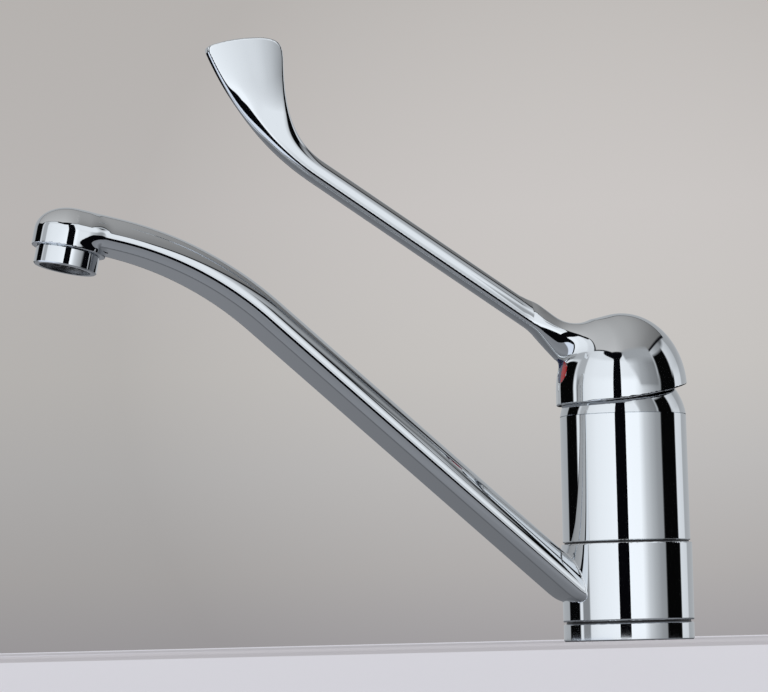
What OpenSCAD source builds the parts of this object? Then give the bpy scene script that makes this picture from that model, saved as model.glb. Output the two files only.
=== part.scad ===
// Single-lever sink mixer with a swivelling cast spout and a long elbow lever.
// Millimetres. +Z is up, z = 0 is the deck that the base ring stands on, and the body's axis is the
// Z axis. The spout and the lever point along -X, and the lever is shut.

/* [Base and collar] */
// Outer diameter of the base ring, which the collar, the body and the cap follow
base_d = 52; // [51:0.5:56]
// Height of the base ring
base_h = 7; // [6:0.5:10]
// Height of the spout's collar
collar_h = 30.9; // [30:0.1:40]
// Thickness of each glide ring, which shows as a dark seam
glide_t = 0.8; // [0.5:0.1:1.5]

/* [Body] */
// How much narrower the body is than the base ring, on the diameter
body_step = 1; // [0.6:0.1:1.2]
// How much the body narrows from its lower end to its upper end, on the diameter
body_taper = 0.6; // [0:0.1:0.8]
// Height of the body from the collar to the cover ring
body_h = 50.4; // [50:0.2:60]
// Diameter of the stem that the collar turns on
stem_d = 35; // [34:0.5:36]
// Width of the cover ring's shoulder, from its opening to its widest place
cover_w = 6.2; // [5.6:0.1:6.4]

/* [Spout] */
// Width of the arm
arm_w = 26.8; // [24:0.2:27]
// Height of the arm
arm_h = 14; // [13:0.1:15]
// Height of the arm's rounded top, above its widest edge
arm_round_h = 11; // [9:0.1:12]
// Width of the flat under the arm
arm_flat_w = 22; // [18:0.5:23]
// Height over the collar's foot at which the line of the arm's top meets the body's axis
arm_root = 4.3; // [3.2:0.1:6.2]
// Slope of the straight arm in degrees
arm_slope = 40.9; // [38:0.1:42]
// Length of the straight arm, measured from the body's axis
arm_run = 188.5; // [170:0.5:220]
// Bend radius of the arm's top
arm_bend_r = 144.5; // [120:0.5:170]
// Slope of the arm's end in degrees, and tilt of the head
head_tilt = 12.5; // [8:0.5:16]
// Length from the end of the bend to the head's axis
head_run = 16.3; // [12:0.1:24]
// Height of the head from its rim to its top
head_h = 16.8; // [15:0.1:22]
// Diameter of the head at its rim
head_d = 28.8; // [27:0.1:30]
// Largest diameter of the head
head_max_d = 29; // [28.6:0.1:31]
// Height of the head's widest place above its rim
head_wide_z = 6.5; // [4:0.1:7]
// Diameter of the waterway in the arm
arm_bore_d = 8.4; // [6:0.1:9]

/* [Aerator] */
// Outer diameter of the aerator ring
aerator_d = 24.6; // [24:0.1:25]
// Height of the aerator ring below the head
aerator_h = 7; // [5:0.5:9]
// Diameter of the aerator's thread
aerator_thread_d = 23; // [22:0.5:23.5]
// Diameter of the aerator's mouth
aerator_mouth_d = 20; // [18:0.5:21]
// Depth at which the grid lies inside the mouth
aerator_inset = 1.2; // [0.8:0.1:2]
// Size of the square openings in the grid
grid_open = 2.2; // [1.8:0.1:3]
// Width of the grid's bars
grid_bar = 0.8; // [0.6:0.1:1.2]

/* [Lever] */
// Height of the cap's top above the lever's pivot
cap_h = 45; // [44:0.5:48]
// Height of the cap's rim above the lever's pivot, at its front
cap_rim = 8.3; // [7.8:0.1:9]
// Height of the cap's dome, from the top of its upright wall
dome_h = 31; // [29:0.5:33]
// Wall of the cap at its rim
cap_wall = 1.6; // [1.2:0.1:1.7]
// Radius of the curve by which the rim rises to the rear
rim_rise_r = 165; // [150:5:200]
// Width of the lever's rod
rod_w = 9; // [7:0.1:11]
// Height of the lever's rod
rod_h = 9.6; // [7:0.1:11]
// Slope of the rod in degrees
rod_slope = 33.3; // [28:0.1:36]
// Distance of the blade's start from the body's axis
blade_start = 127.7; // [100:0.1:150]
// Thickness of the blade at its tip
blade_t = 4.4; // [3.5:0.1:6]
// Length of the blade along the axis, from its start to its tip
blade_run = 40; // [34:0.1:46]
// Height of the blade above its start
blade_rise = 47.8; // [40:0.1:56]
// Width of the blade at its tip
blade_w = 29.7; // [22:0.1:34]
// Height of the rounded end above the blade's straight sides
tip_h = 8.9; // [6:0.1:12]
// How far the lever lifts to full flow, in degrees
lift_max = 25; // [15:1:25]

/* [Index] */
// Diameter of the red and blue index
index_d = 10; // [9:0.5:12]
// Height of the index's centre above the lever's pivot
index_h = 22; // [21:0.5:23]
// Depth of the index in the cap
index_t = 2.4; // [1.8:0.1:3]

/* [Cartridge] */
// Wall of the body round the cartridge
body_wall = 5.1; // [5:0.1:5.4]
// Depth of the body's floor under its top, where the cartridge stands
floor_depth = 32.2; // [31.8:0.1:34]
// Thickness of the cartridge's base
cart_base_t = 4; // [3:0.1:5]
// Thickness of each ceramic disc
disc_t = 3.5; // [3:0.1:4]
// Height of the lever's pivot above the cartridge's foot
pivot_h = 28.3; // [27.8:0.1:28.8]
// Diameter of the pivot pin
pin_d = 3; // [2.5:0.1:4]
// Side of the square lever stem
stem_sq = 8; // [7:0.1:8.4]
// Length from the pivot down to the centre of the stem's ball
ball_arm = 13.8; // [13.6:0.1:14]
// Diameter of the stem's ball
ball_d = 5.8; // [5:0.1:6]

/* [Water ways] */
// Distance of the inlets from the middle, side to side
inlet_y = 8.5; // [8.2:0.1:9]
// Distance of the inlets behind the axis
inlet_x = 4; // [3:0.1:5]
// Diameter of the inlets' threaded holes
inlet_d = 9; // [8:0.1:10]
// Depth of the inlets' threaded holes
inlet_depth = 12; // [10:0.5:14]
// Diameter of the drilled waterways
way_d = 8; // [6:0.1:8.5]
// Distance of the mixed-water outlet in front of the axis
outlet_x = 9; // [8:0.1:10]

/* [Fixing] */
// Thickness of the deck that the tap is clamped to
deck_t = 20; // [3:1:40]
// Diameter of the fixing stud
stud_d = 8; // [6:1:8]
// Distance of the stud in front of the axis
stud_x = 10.5; // [10:0.1:11]
// Length of the stud below the deck's top
stud_free = 58; // [50:1:80]
// How far the clamp plate reaches beyond the base ring
plate_out = 2; // [0:0.5:6]
// Thickness of the clamp plate
plate_t = 2.5; // [2:0.1:4]
// Thickness of the rubber under the deck
rubber_t = 3; // [2:0.5:5]
// Width of the hose gap in the clamp plate
hose_gap = 31; // [28:0.5:34]
// Width across the flats of the fixing nut
nut_af = 13; // [10:0.5:14]
// Height of the fixing nut
nut_h = 8; // [6:0.5:10]

/* [Hidden] */
$fn = 96;

// Fits and small edges
run_gap = 0.1;            // a turning fit, on the radius
slide_gap = 0.25;         // loose plastic and ceramic pieces, on each side
soft_gap = 0.05;          // a seal's lip against the wall that it wipes
edge = 0.5;               // small chamfers on the visible rings
eps = 0.01;               // overshoot of a cut

// Diameters that follow the base ring
collar_proud = 0.1;       // the collar stands this far outside the base ring
collar_d = base_d + 2*collar_proud;
body_d = base_d - body_step;
body_top_d = body_d - body_taper;
seam_inset = 0.7;         // the glide rings lie this far inside the body's edge
cap_r = base_d/2;
cover_proud = 0.3;        // the cover ring's widest place, against the body's top
cover_r = body_top_d/2 + cover_proud;
cover_open_r = cover_r - cover_w;
plate_r = base_d/2 + plate_out;

// Levels from the deck up
collar_z = base_h + glide_t;
collar_top = collar_z + collar_h;
body_z = collar_top + glide_t;
body_top = body_z + body_h;
floor_z = body_top - floor_depth;
pivot_z = floor_z + pivot_h;
cap_top_z = pivot_z + cap_h;
cap_rim_z = pivot_z + cap_rim;
index_z = pivot_z + index_h;
arm_root_z = collar_z + arm_root;

// Stem, clip and gasket
stem_r = stem_d/2;
clip_t = 1.2;
clip_z = 2.7;
clip_out = 2.7;           // how far the clip stands out of the stem
clip_in = 1.3;            // depth of the clip's groove
gasket_w = 3;
gasket_t = 2;
gasket_rim = 2;           // metal left outside the gasket
gasket_r = base_d/2 - gasket_rim - gasket_w;

// Spout seals and the water chamber between them
seal_h = 3.2;
seal_groove = 2;
seal_inset = 3.4;         // from each end of the collar to its seal
chamber_inset = 8.2;      // from each end of the collar to the chamber
chamber_r = stem_r + 3;
way_z = collar_z + collar_h/2;

// Arm and head
arm_start = 16;           // the arm begins inside the collar's wall
arm_sides = 14;           // flats that draw the rounded top
arm_bore_v = -arm_h/2;
bore_back = 7.5;          // the waterway begins this far inside the chamber's wall, along the arm
join = 0.05;              // the straight runs reach this far into the bend
join_step = 0.02;         // and are this much smaller, so that no faces coincide
bend_s = arm_run*cos(arm_slope);
bend_z = arm_root_z + arm_run*sin(arm_slope);
centre_s = bend_s + arm_bend_r*sin(arm_slope);
centre_z = bend_z - arm_bend_r*cos(arm_slope);
end_s = centre_s - arm_bend_r*sin(head_tilt);
end_z = centre_z + arm_bend_r*cos(head_tilt);
crown_s = end_s + head_run*cos(head_tilt);
crown_z = end_z + head_run*sin(head_tilt);
rim_s = crown_s + head_h*sin(head_tilt);
rim_z = crown_z - head_h*cos(head_tilt);
thread_h = 6;             // length of the aerator's thread
washer_t = 1.5;
outlet_r = 8;             // water chamber over the aerator
outlet_h = 10;

// Cartridge stack from the floor up
cart_clear = 0.1;
cart_r = body_top_d/2 - body_wall - cart_clear;
port_seal_w = 1.5;
port_seal_t = 1;
disc_z = floor_z + cart_base_t;
moving_z = disc_z + disc_t;
carrier_z = moving_z + disc_t;
fixed_in = 4.5;           // the fixed disc's edge lies this far inside the cartridge's
moving_in = 3.1;          // and the moving disc's this far inside that
housing_wall = 3.6;
fixed_r = cart_r - fixed_in;
moving_r = fixed_r - moving_in;
cavity_r = cart_r - housing_wall;
neck_r = cavity_r - cart_clear;
seat_h = 22.3;            // from the cartridge's foot to the shoulder that the nut bears on
roof_t = 2.4;
neck_h = 8;
shoulder_z = floor_z + seat_h;
roof_z = shoulder_z - roof_t;
neck_top = shoulder_z + neck_h;
neck_wall = 4.3;
rotor_r = neck_r - neck_wall;
rotor_out = 5.5;          // the rotor stands this far out of the housing
rotor_top = neck_top + rotor_out;
flange_t = 5.1;
turn_gap = 0.3;           // above and below the turning pieces
rotor_flange_r = cavity_r - 2*turn_gap;
rotor_flange_top = roof_z - turn_gap;
rotor_flange_z = rotor_flange_top - flange_t;
channel_bed = 3.8;        // the rotor's wall at each side of the channel that the carrier slides in
channel_w = 2*(rotor_r - channel_bed);
channel_depth = 2.7;
channel_top = rotor_flange_z + channel_depth;
carrier_t = 3;
carrier_top = channel_top - turn_gap;
carrier_r = moving_r + 2*cart_clear;
socket_r = ball_d/2 + slide_gap;
socket_floor = 0.3;
rotor_slot = 17.2;        // room for the stem's tilt
rotor_seal_z = shoulder_z + 2*turn_gap;
rotor_seal_h = 2.2;
rotor_seal_w = 1.6;
pin_short = 1.5;          // the pin ends this far inside the rotor, at each side
pin_len = 2*(rotor_r - pin_short);
stem_neck_r = 2.2;
stem_neck_drop = 6.5;     // the square part begins this far under the pivot
stem_neck_top = pivot_z - stem_neck_drop;
ball_z = pivot_z - ball_arm;
disc_travel = ball_arm*sin(lift_max);
disc_x = disc_travel/2;   // the moving disc rests behind the axis and slides as far in front

// Clamp nut and cover ring
skirt_bed = 2.6;          // wall of the body round the cover ring's skirt
skirt_r = body_top_d/2 - skirt_bed;
skirt_wall = 1.2;
nut_thread_r = skirt_r - skirt_wall - 2*cart_clear;
nut_thread_h = 4;
nut_thread_top = shoulder_z + nut_thread_h;
nut_bore_r = neck_r + edge;
nut_hex_in = 3.2;
nut_hex_af = 2*(nut_thread_r - nut_hex_in);
skirt_depth = 5.4;
cover_wall = 1.4;

// Lever cap
dome_z = cap_top_z - dome_h;  // the cap's dome is half an ellipsoid that begins here
dome_steps = 16;
dome_wall = 4.5;          // metal over the cavity
cavity_top_z = cap_top_z - dome_wall;
boss_r = 7.5;
boss_h = 13;              // the boss begins this far above the pivot
boss_z = pivot_z + boss_h;
stem_h = 32;              // length of the stem above the pivot
stem_top = pivot_z + stem_h;
socket_gap = 0.05;
bridge_r = 4.6;           // the bridge from the boss to the front carries the screw
screw_d = 6;
screw_len = 10;
screw_hex_af = 3;
screw_hex_depth = 3;
index_wall = 1.2;         // metal left behind the index

// Lever arm: each edge is a chain of three curves in the lever's plane, [distance, height]
neck_run = 14;            // from the cap's side to where the straight rod begins
neck_drop = 6;            // and from the cap's top down to the rod's lower edge there
rod_s = cap_r + neck_run;
rod_z = cap_top_z - neck_drop;
ring_sides = 20;
neck_rings = 8;
rod_rings = 2;
blade_rings = 14;
tip_rings = 7;
neck_w = 19;              // width where the neck dives into the cap
tip_outer = 18;           // corner lengths of the rounded end
tip_inner = 4.3;
neck_dive = [17, 17.6];   // from the rod's lower edge back to where the neck dives into the cap
neck_bow = [13, 11.2];    // controls of the neck's two edges
neck_pull = 8;
neck_top_s = 2;
neck_top_bow_s = 12;
neck_top_drop = 0.6;
neck_top_bow_drop = 1.5;
neck_top_pull = 17;
blade_low_pull = 20.3;    // controls of the blade's two edges
blade_low_bow = [10.4, 22.5];
blade_top_pull = 12;
blade_top_bow = [0, 23];
rod_dir = [cos(rod_slope), sin(rod_slope)];
rod_up = [-sin(rod_slope), cos(rod_slope)];
rod_low_a = [rod_s, rod_z];
rod_low_b = rod_low_a + rod_dir*(blade_start - rod_s)/cos(rod_slope);
rod_top_a = rod_low_a + rod_up*rod_h;
rod_top_b = rod_low_b + rod_up*rod_h;
blade_tip_low = rod_low_b + [blade_run, blade_rise];
blade_tip_top = blade_tip_low - [blade_w, 0];
neck_low = [rod_low_a - neck_dive, rod_low_a - neck_bow, rod_low_a - rod_dir*neck_pull, rod_low_a];
neck_top_edge = [
    [neck_top_s, cap_top_z - neck_top_drop],
    [neck_top_bow_s, cap_top_z - neck_top_bow_drop],
    rod_top_a - rod_dir*neck_top_pull - [0, neck_top_bow_drop],
    rod_top_a
];
blade_low = [rod_low_b, rod_low_b + rod_dir*blade_low_pull, blade_tip_low - blade_low_bow, blade_tip_low];
blade_top_edge = [
    rod_top_b, rod_top_b + rod_dir*blade_top_pull, blade_tip_top - blade_top_bow, blade_tip_top
];

// Colours
chrome = [0.80, 0.82, 0.84];
brass = [0.80, 0.65, 0.32];
steel = [0.62, 0.63, 0.65];
rubber = [0.10, 0.10, 0.11];
acetal = [0.88, 0.87, 0.83];
ceramic = [0.95, 0.95, 0.93];
plastic = [0.30, 0.31, 0.33];
red = [0.72, 0.10, 0.08];
blue = [0.10, 0.22, 0.60];

// A point on a cubic curve through four controls
function curve(c, t) =
    c[0]*pow(1 - t, 3) + 3*c[1]*t*pow(1 - t, 2) + 3*c[2]*t*t*(1 - t) + c[3]*pow(t, 3);
function ease(t) = t*t*(3 - 2*t);
function sgn_pow(v, p) = sign(v)*pow(abs(v), p);

// One ring of the lever's arm, between its lower and upper edge, w wide; flat = 1 is a slab
function ring(low, top, w, flat) = [
    for (i = [0:ring_sides - 1])
        let (
            a = 360*i/ring_sides,
            across = w/2*sgn_pow(cos(a), 1 - 0.6*flat),
            up = 0.5 + 0.5*sgn_pow(sin(a), 1 - 0.25*flat),
            p = low + (top - low)*up
        )
        [-p[0], across, p[1]]
];

// A closed skin over a list of rings
module skin(rings) {
    n = len(rings[0]);
    last = len(rings) - 1;
    polyhedron(
        points = [for (r = rings) each r],
        faces = concat(
            [[for (i = [n - 1:-1:0]) i]],
            [
                for (k = [0:last - 1], i = [0:n - 1])
                    let (a = k*n + i, b = k*n + (i + 1)%n)
                    each [[a, b + n, a + n], [a, b, b + n]]
            ],
            [[for (i = [0:n - 1]) last*n + i]]
        )
    );
}

module tube(z, h, r_out, r_in) {
    translate([0, 0, z])
        difference() {
            cylinder(r = r_out, h = h);
            translate([0, 0, -1]) cylinder(r = r_in, h = h + 2);
        }
}

// A ring whose outer top and bottom edges are chamfered
module edged_ring(z, h, r_bottom, r_top, c) {
    translate([0, 0, z])
        rotate_extrude()
            polygon([[0, 0], [r_bottom - c, 0], [r_bottom, c], [r_top, h - c], [r_top - c, h], [0, h]]);
}

// A ring of round section that fills a groove
module round_seal(r_in, r_out, h) {
    rotate_extrude()
        intersection() {
            translate([r_in, -h/2]) square([r_out - r_in, h]);
            translate([(r_in + r_out)/2, 0]) circle(d = h*1.15, $fn = 32);
        }
}

module base_ring() {
    color(chrome)
        difference() {
            edged_ring(0, base_h, base_d/2, base_d/2, edge);
            translate([0, 0, -1]) cylinder(r = stem_r, h = base_h + 2);
            translate([0, 0, -1]) cylinder(r = stem_r + clip_out + slide_gap, h = clip_z + clip_t + 1);
            tube(-1, gasket_t + 1, gasket_r + gasket_w, gasket_r);
        }
}

module base_gasket() {
    color(rubber) tube(0, gasket_t, gasket_r + gasket_w, gasket_r);
}

// An open ring in the stem's groove, under the base ring's step
module retaining_clip() {
    gap_w = 8;
    color(steel)
        difference() {
            tube(clip_z, clip_t, stem_r + clip_out, stem_r - clip_in);
            translate([0, -gap_w/2, clip_z - 1]) cube([base_d, gap_w, clip_t + 2]);
        }
}

module water_ways() {
    for (side = [-1, 1]) {
        translate([inlet_x, side*inlet_y, -1]) cylinder(d = inlet_d, h = inlet_depth + 1);
        translate([inlet_x, side*inlet_y, 0]) cylinder(d = way_d, h = floor_z + 1);
    }
    translate([-outlet_x, 0, way_z]) cylinder(d = way_d, h = floor_z - way_z + 1);
    translate([-outlet_x, 0, way_z]) rotate([0, -90, 0]) cylinder(d = way_d, h = stem_r);
}

module body() {
    color(chrome)
        difference() {
            union() {
                edged_ring(body_z, body_h, body_d/2, body_top_d/2, 0.3);
                cylinder(r = stem_r, h = body_z + 1);
            }
            tube(clip_z, clip_t, stem_r + 1, stem_r - clip_in);
            for (z = [collar_z + seal_inset, collar_top - seal_inset - seal_h])
                tube(z, seal_h, stem_r + 1, stem_r - seal_groove);
            water_ways();
            translate([-stud_x, 0, -1]) cylinder(d = stud_d, h = inlet_depth + 1);
            translate([0, 0, floor_z]) cylinder(r = cart_r + cart_clear, h = body_h);
            translate([0, 0, shoulder_z - 1]) cylinder(r = nut_thread_r, h = body_h);
            translate([0, 0, nut_thread_top]) cylinder(r = skirt_r, h = body_h);
        }
}

module glide_ring_lower() {
    color(plastic) tube(base_h, glide_t, body_d/2 - seam_inset, stem_r + run_gap);
}

module glide_ring_upper() {
    color(plastic) tube(collar_top, glide_t, body_d/2 - seam_inset, stem_r + run_gap);
}

module spout_seal(z) {
    translate([0, 0, z + seal_h/2])
        round_seal(stem_r - seal_groove, stem_r + run_gap - soft_gap, seal_h);
}

module spout_seal_lower() {
    color(rubber) spout_seal(collar_z + seal_inset);
}

module spout_seal_upper() {
    color(rubber) spout_seal(collar_top - seal_inset - seal_h);
}

// Section of the arm as [height, across], with the ridge at the origin
module arm_section(less) {
    low = less - arm_h;
    flat = arm_flat_w/2 - less;
    polygon(concat(
        [
            for (i = [0:arm_sides])
                let (a = 180*i/arm_sides)
                [(arm_round_h - less)*sin(a) - arm_round_h, (arm_w/2 - less)*cos(a)]
        ],
        [[low, -flat], [low, flat]]
    ));
}

module bore_section(more) {
    translate([arm_bore_v, 0]) circle(d = arm_bore_d + 2*more);
}

// Sweeps a section along the arm: a straight from a distance on the line, the bend and the end.
// The first child is the section of the straights, the second is that of the bend.
module along_arm(from) {
    translate([-from*cos(arm_slope), 0, arm_root_z + from*sin(arm_slope)])
        rotate([0, arm_slope - 90, 0])
            linear_extrude(arm_run - from + join) children(0);
    translate([-centre_s, 0, centre_z])
        rotate([90, 0, 0])
            rotate(90 - arm_slope)
                rotate_extrude(angle = arm_slope - head_tilt)
                    translate([arm_bend_r, 0]) children(1);
    translate([-end_s, 0, end_z])
        rotate([0, head_tilt - 90, 0])
            translate([0, 0, -join]) linear_extrude(head_run + join) children(0);
}

module at_head() {
    translate([-rim_s, 0, rim_z]) rotate([0, head_tilt, 0]) children();
}

module head_solid() {
    dome_h = head_h - head_wide_z;
    steps = 12;
    at_head()
        rotate_extrude()
            polygon(concat(
                [[0, 0], [head_d/2 - edge/2, 0], [head_d/2, edge/2]],
                [
                    for (i = [0:steps])
                        let (a = 90*i/steps)
                        [head_max_d/2*cos(a), head_wide_z + dome_h*sin(a)]
                ]
            ));
}

module spout() {
    color(chrome)
        difference() {
            union() {
                edged_ring(collar_z, collar_h, collar_d/2, collar_d/2, 0.3);
                along_arm(arm_start) {
                    arm_section(join_step);
                    arm_section(0);
                }
                head_solid();
            }
            translate([0, 0, -1]) cylinder(r = stem_r + run_gap, h = body_z + 2);
            tube(collar_z + chamber_inset, collar_h - 2*chamber_inset, chamber_r, stem_r - 1);
            along_arm(chamber_r/cos(arm_slope) - bore_back) {
                bore_section(join_step);
                bore_section(0);
            }
            at_head() {
                translate([0, 0, -1]) cylinder(d = aerator_thread_d, h = thread_h + washer_t + 1);
                cylinder(r = outlet_r, h = outlet_h);
            }
        }
}

module aerator_washer() {
    color(rubber) at_head() tube(thread_h, washer_t, aerator_thread_d/2 - 0.3, outlet_r);
}

module aerator_shell() {
    color(chrome)
        at_head()
            difference() {
                union() {
                    cylinder(d = aerator_thread_d, h = thread_h);
                    edged_ring(-aerator_h, aerator_h, aerator_d/2, aerator_d/2, 0.4);
                }
                translate([0, 0, -aerator_h - 1])
                    cylinder(d = aerator_mouth_d, h = aerator_h + thread_h + 2);
            }
}

// The plastic insert with its square grid, which breaks the stream into a soft one
module aerator_insert() {
    grid_t = 2;
    wall = 1.2;
    pitch = grid_open + grid_bar;
    half = floor((aerator_mouth_d/2 - wall)/pitch);
    r = aerator_mouth_d/2;
    bottom = aerator_inset - aerator_h;
    color(plastic)
        at_head() {
            tube(bottom, thread_h + aerator_h - aerator_inset, r, r - wall);
            translate([0, 0, bottom])
                difference() {
                    cylinder(r = r - wall, h = grid_t);
                    for (i = [-half:half], j = [-half:half])
                        if (norm([i, j])*pitch + grid_open < r - wall)
                            translate([i*pitch - grid_open/2, j*pitch - grid_open/2, -1])
                                cube([grid_open, grid_open, grid_t + 2]);
                }
        }
}

// Places its child at the three ports between the body and the cartridge
module at_ports() {
    for (p = [[inlet_x, inlet_y], [inlet_x, -inlet_y], [-outlet_x, 0]])
        translate([p[0], p[1], 0]) children();
}

module cartridge_seals() {
    color(rubber) at_ports() tube(floor_z, port_seal_t, way_d/2 + port_seal_w, way_d/2);
}

module cartridge_base() {
    color(acetal)
        difference() {
            translate([0, 0, floor_z]) cylinder(r = cart_r, h = cart_base_t);
            at_ports() {
                translate([0, 0, floor_z - 1]) cylinder(d = way_d, h = cart_base_t + 2);
                translate([0, 0, floor_z - 1])
                    cylinder(r = way_d/2 + port_seal_w, h = port_seal_t + 1);
            }
        }
}

module disc_fixed() {
    color(ceramic)
        difference() {
            translate([0, 0, disc_z]) cylinder(r = fixed_r, h = disc_t);
            at_ports() translate([0, 0, disc_z - 1]) cylinder(d = way_d - 1, h = disc_t + 2);
        }
}

// The disc that slides and turns on the fixed one, with a mixing hollow underneath
module disc_moving() {
    hollow_r = 7;
    hollow_h = 1.8;
    color(ceramic)
        translate([disc_x, 0, moving_z])
            difference() {
                cylinder(r = moving_r, h = disc_t);
                translate([0, 0, -1]) cylinder(r = hollow_r, h = hollow_h + 1);
            }
}

module disc_carrier() {
    flare = 1;
    color(acetal)
        difference() {
            intersection() {
                translate([disc_x, 0, carrier_z]) cylinder(r = carrier_r, h = carrier_top - carrier_z);
                union() {
                    translate([disc_x, 0, carrier_z]) cylinder(r = carrier_r, h = carrier_t);
                    translate([disc_x - carrier_r, slide_gap - channel_w/2, carrier_z])
                        cube([2*carrier_r, channel_w - 2*slide_gap, carrier_top - carrier_z]);
                }
            }
            translate([0, 0, carrier_z + socket_floor]) cylinder(r = socket_r, h = disc_z);
            translate([0, 0, carrier_top - flare])
                cylinder(r1 = socket_r, r2 = socket_r + 1.5*flare, h = 1.5*flare);
        }
}

module cartridge_housing() {
    color(acetal)
        difference() {
            union() {
                translate([0, 0, disc_z]) cylinder(r = cart_r, h = shoulder_z - disc_z);
                translate([0, 0, disc_z]) cylinder(r = neck_r, h = neck_top - disc_z);
            }
            translate([0, 0, disc_z - 1]) cylinder(r = cavity_r, h = roof_z - disc_z + 1);
            cylinder(r = rotor_r + run_gap, h = neck_top + 1);
        }
}

// Turns in the housing with the lever, and guides the carrier in the channel under its flange
module rotor() {
    color(plastic)
        difference() {
            union() {
                translate([0, 0, rotor_flange_z])
                    cylinder(r = rotor_flange_r, h = rotor_flange_top - rotor_flange_z);
                translate([0, 0, rotor_flange_z]) cylinder(r = rotor_r, h = rotor_top - rotor_flange_z);
            }
            translate([-cart_r, -channel_w/2, rotor_flange_z - 1])
                cube([2*cart_r, channel_w, channel_top - rotor_flange_z + 1]);
            translate([-rotor_slot/2, -stem_sq/2 - slide_gap, rotor_flange_z - 1])
                cube([rotor_slot, stem_sq + 2*slide_gap, rotor_top]);
            tube(rotor_seal_z, rotor_seal_h, rotor_r + 1, rotor_r - rotor_seal_w);
            pin_hole(pin_d, pin_len);
        }
}

module pin_hole(d, len) {
    translate([0, len/2, pivot_z]) rotate([90, 0, 0]) cylinder(d = d, h = len);
}

module rotor_seal() {
    color(rubber)
        translate([0, 0, rotor_seal_z + rotor_seal_h/2])
            round_seal(rotor_r - rotor_seal_w, rotor_r + run_gap - soft_gap, rotor_seal_h);
}

module pivot_pin() {
    color(steel) pin_hole(pin_d, pin_len);
}

module lever_stem() {
    color(steel)
        difference() {
            union() {
                translate([-stem_sq/2, -stem_sq/2, stem_neck_top])
                    cube([stem_sq, stem_sq, stem_top - stem_neck_top]);
                translate([0, 0, ball_z]) cylinder(r = stem_neck_r, h = stem_neck_top - ball_z + 1);
                translate([0, 0, ball_z]) sphere(d = ball_d, $fn = 48);
            }
            pin_hole(pin_d + 2*soft_gap, stem_sq + 2);
        }
}

// Threaded ring with a hexagon, which clamps the cartridge in the body
module clamp_nut() {
    color(brass)
        difference() {
            union() {
                translate([0, 0, shoulder_z]) cylinder(r = nut_thread_r, h = nut_thread_top - shoulder_z);
                translate([0, 0, shoulder_z])
                    cylinder(d = nut_hex_af/cos(30), h = neck_top - shoulder_z, $fn = 6);
            }
            translate([0, 0, shoulder_z - 1]) cylinder(r = nut_bore_r, h = neck_top);
        }
}

// Domed ring over the nut: a part of a ball round the lever's pivot, on a skirt in the body
module cover_ring() {
    top = sqrt(pow(cover_r, 2) - pow(cover_open_r, 2));
    color(chrome)
        difference() {
            union() {
                intersection() {
                    translate([0, 0, pivot_z]) sphere(r = cover_r);
                    translate([0, 0, body_top]) cylinder(r = cover_r, h = pivot_z + top - body_top);
                }
                translate([0, 0, body_top - skirt_depth]) cylinder(r = skirt_r, h = skirt_depth + 1);
            }
            translate([0, 0, body_top - skirt_depth - 1])
                cylinder(r = skirt_r - skirt_wall, h = skirt_depth + 1 + eps);
            intersection() {
                translate([0, 0, pivot_z]) sphere(r = cover_r - cover_wall);
                translate([0, 0, body_top]) cylinder(r = cover_open_r + 2.2, h = cover_r);
            }
            translate([0, 0, body_top - skirt_depth - 1])
                cylinder(r = cover_open_r - cover_wall, h = cover_r);
            translate([0, 0, pivot_z + top - 3]) cylinder(r = cover_open_r - 0.3, h = cover_r);
        }
}

// Outline of the cap from its rim up over its dome
module cap_profile(r, z_low, z_top) {
    polygon(concat(
        [[0, z_low], [r, z_low]],
        [
            for (i = [0:dome_steps])
                let (a = 90*i/dome_steps)
                [r*cos(a), dome_z + (z_top - dome_z)*sin(a)]
        ]
    ));
}

// The lever's arm: neck, rod, blade and rounded tip in one skin
module lever_arm() {
    skin(concat(
        [
            for (i = [0:neck_rings])
                let (t = i/neck_rings)
                ring(curve(neck_low, t), curve(neck_top_edge, t), neck_w + (rod_w - neck_w)*ease(t), 0)
        ],
        [
            for (i = [1:rod_rings])
                let (t = i/rod_rings)
                ring(
                    rod_low_a + (rod_low_b - rod_low_a)*t,
                    rod_top_a + (rod_top_b - rod_top_a)*t,
                    rod_w, 0
                )
        ],
        [
            for (i = [1:blade_rings])
                let (t = i/blade_rings)
                ring(
                    curve(blade_low, t),
                    curve(blade_top_edge, t),
                    rod_w + (blade_t - rod_w)*ease(t),
                    ease(t)
                )
        ],
        [
            for (i = [1:tip_rings])
                let (
                    a = 90*i/tip_rings,
                    back = 1 - cos(a),
                    up = [0, tip_h*sin(a)]
                )
                ring(
                    blade_tip_low + up - [tip_outer*back, 0],
                    blade_tip_top + up + [tip_inner*back, 0],
                    blade_t*(1 - 0.35*back), 1
                )
        ]
    ));
}

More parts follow.
